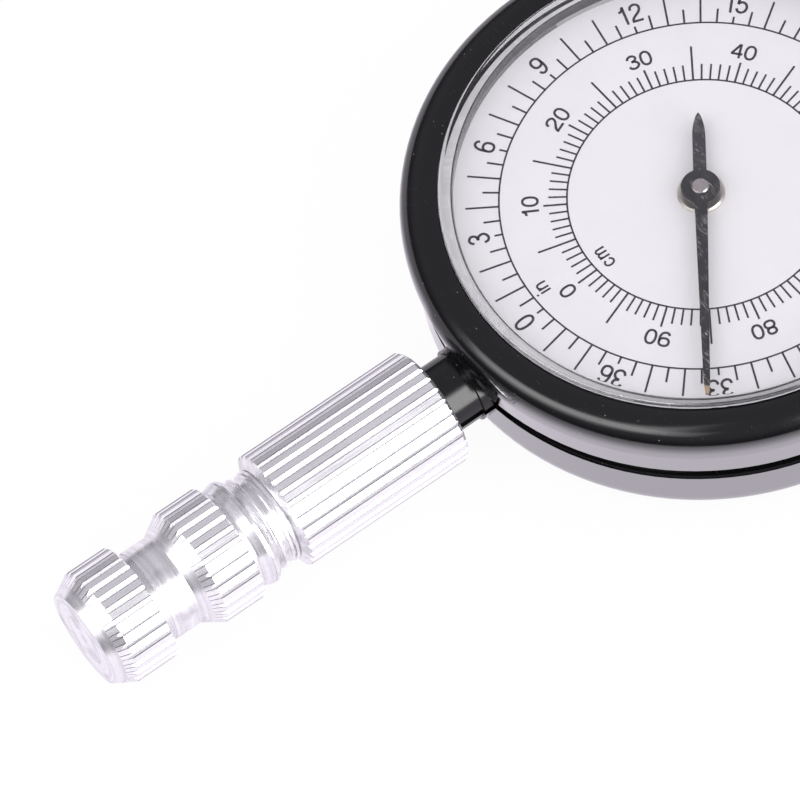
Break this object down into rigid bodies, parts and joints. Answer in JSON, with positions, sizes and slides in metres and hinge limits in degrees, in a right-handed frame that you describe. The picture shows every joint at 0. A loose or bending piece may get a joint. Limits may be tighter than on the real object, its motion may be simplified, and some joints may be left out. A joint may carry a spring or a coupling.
{
  "type": "map measurer",
  "caption": "Round-cased map measurer: a tracing wheel drives a dial pointer through a hidden gear train; turned fluted handle opposite.",
  "frame": {"origin": "centre of the case's flat back, on the axis of the dial and pointer", "axes": "+Z out of the dial's face, +Y towards the tracing wheel, the handle runs along -Y, +X to the right seen from the front with the handle down"},
  "size_m": [0.0402, 0.0804, 0.0101],
  "materials": {
    "case_plastic": "gloss black moulded plastic",
    "crystal_clear": "clear moulded acrylic, polished",
    "dial_white": "satin white print ground with dark grey scales",
    "handle_aluminium": "bright turned and fluted aluminium",
    "brass": "machined brass",
    "steel": "bright turned steel",
    "nickel": "nickel-plated, turned",
    "pointer_black": "black lacquered sheet, lightly scratched"
  },
  "bodies": {
    "case": {"front_case": "case_plastic", "rear_case": "case_plastic", "crystal": "crystal_clear", "dial": "dial_white", "front_plate": "brass", "rear_plate": "brass", "plate_pillars": "brass", "plate_screws": "steel", "case_screws": "steel", "centre_bush": "nickel", "handle": "handle_aluminium", "handle_stud": "steel", "idler_pin": "steel", "front_nose_bush": "brass", "rear_nose_bush": "brass"},
    "tracing": {"tracing_wheel": "steel", "tracing_arbor": "steel", "tracing_pinion": "brass"},
    "idler": {"idler_wheel": "brass"},
    "intermediate": {"intermediate_arbor": "steel", "intermediate_wheel": "brass", "intermediate_pinion": "brass"},
    "centre": {"centre_arbor": "steel", "centre_wheel": "brass", "pointer_collet": "nickel", "pointer": "pointer_black"}
  },
  "joints": [
    {"name": "tracing_spin", "type": "hinge", "parent": "case", "child": "tracing", "pos_m": [0, 0.0252, 0.0044], "axis": [0, 0, 1], "continuous": true},
    {"name": "idler_spin", "type": "hinge", "parent": "case", "child": "idler", "pos_m": [0, 0.0198, 0.0044], "axis": [0, 0, 1], "continuous": true},
    {"name": "intermediate_spin", "type": "hinge", "parent": "case", "child": "intermediate", "pos_m": [0, 0.0084, 0.0044], "axis": [0, 0, 1], "continuous": true},
    {"name": "pointer_spin", "type": "hinge", "parent": "case", "child": "centre", "pos_m": [0, 0, 0.0044], "axis": [0, 0, 1], "continuous": true}
  ],
  "couplings": [
    {"joint": "idler_spin", "follows": "tracing_spin", "ratio": -0.28571},
    {"joint": "intermediate_spin", "follows": "tracing_spin", "ratio": 0.16667},
    {"joint": "pointer_spin", "follows": "tracing_spin", "ratio": -0.027778}
  ]
}
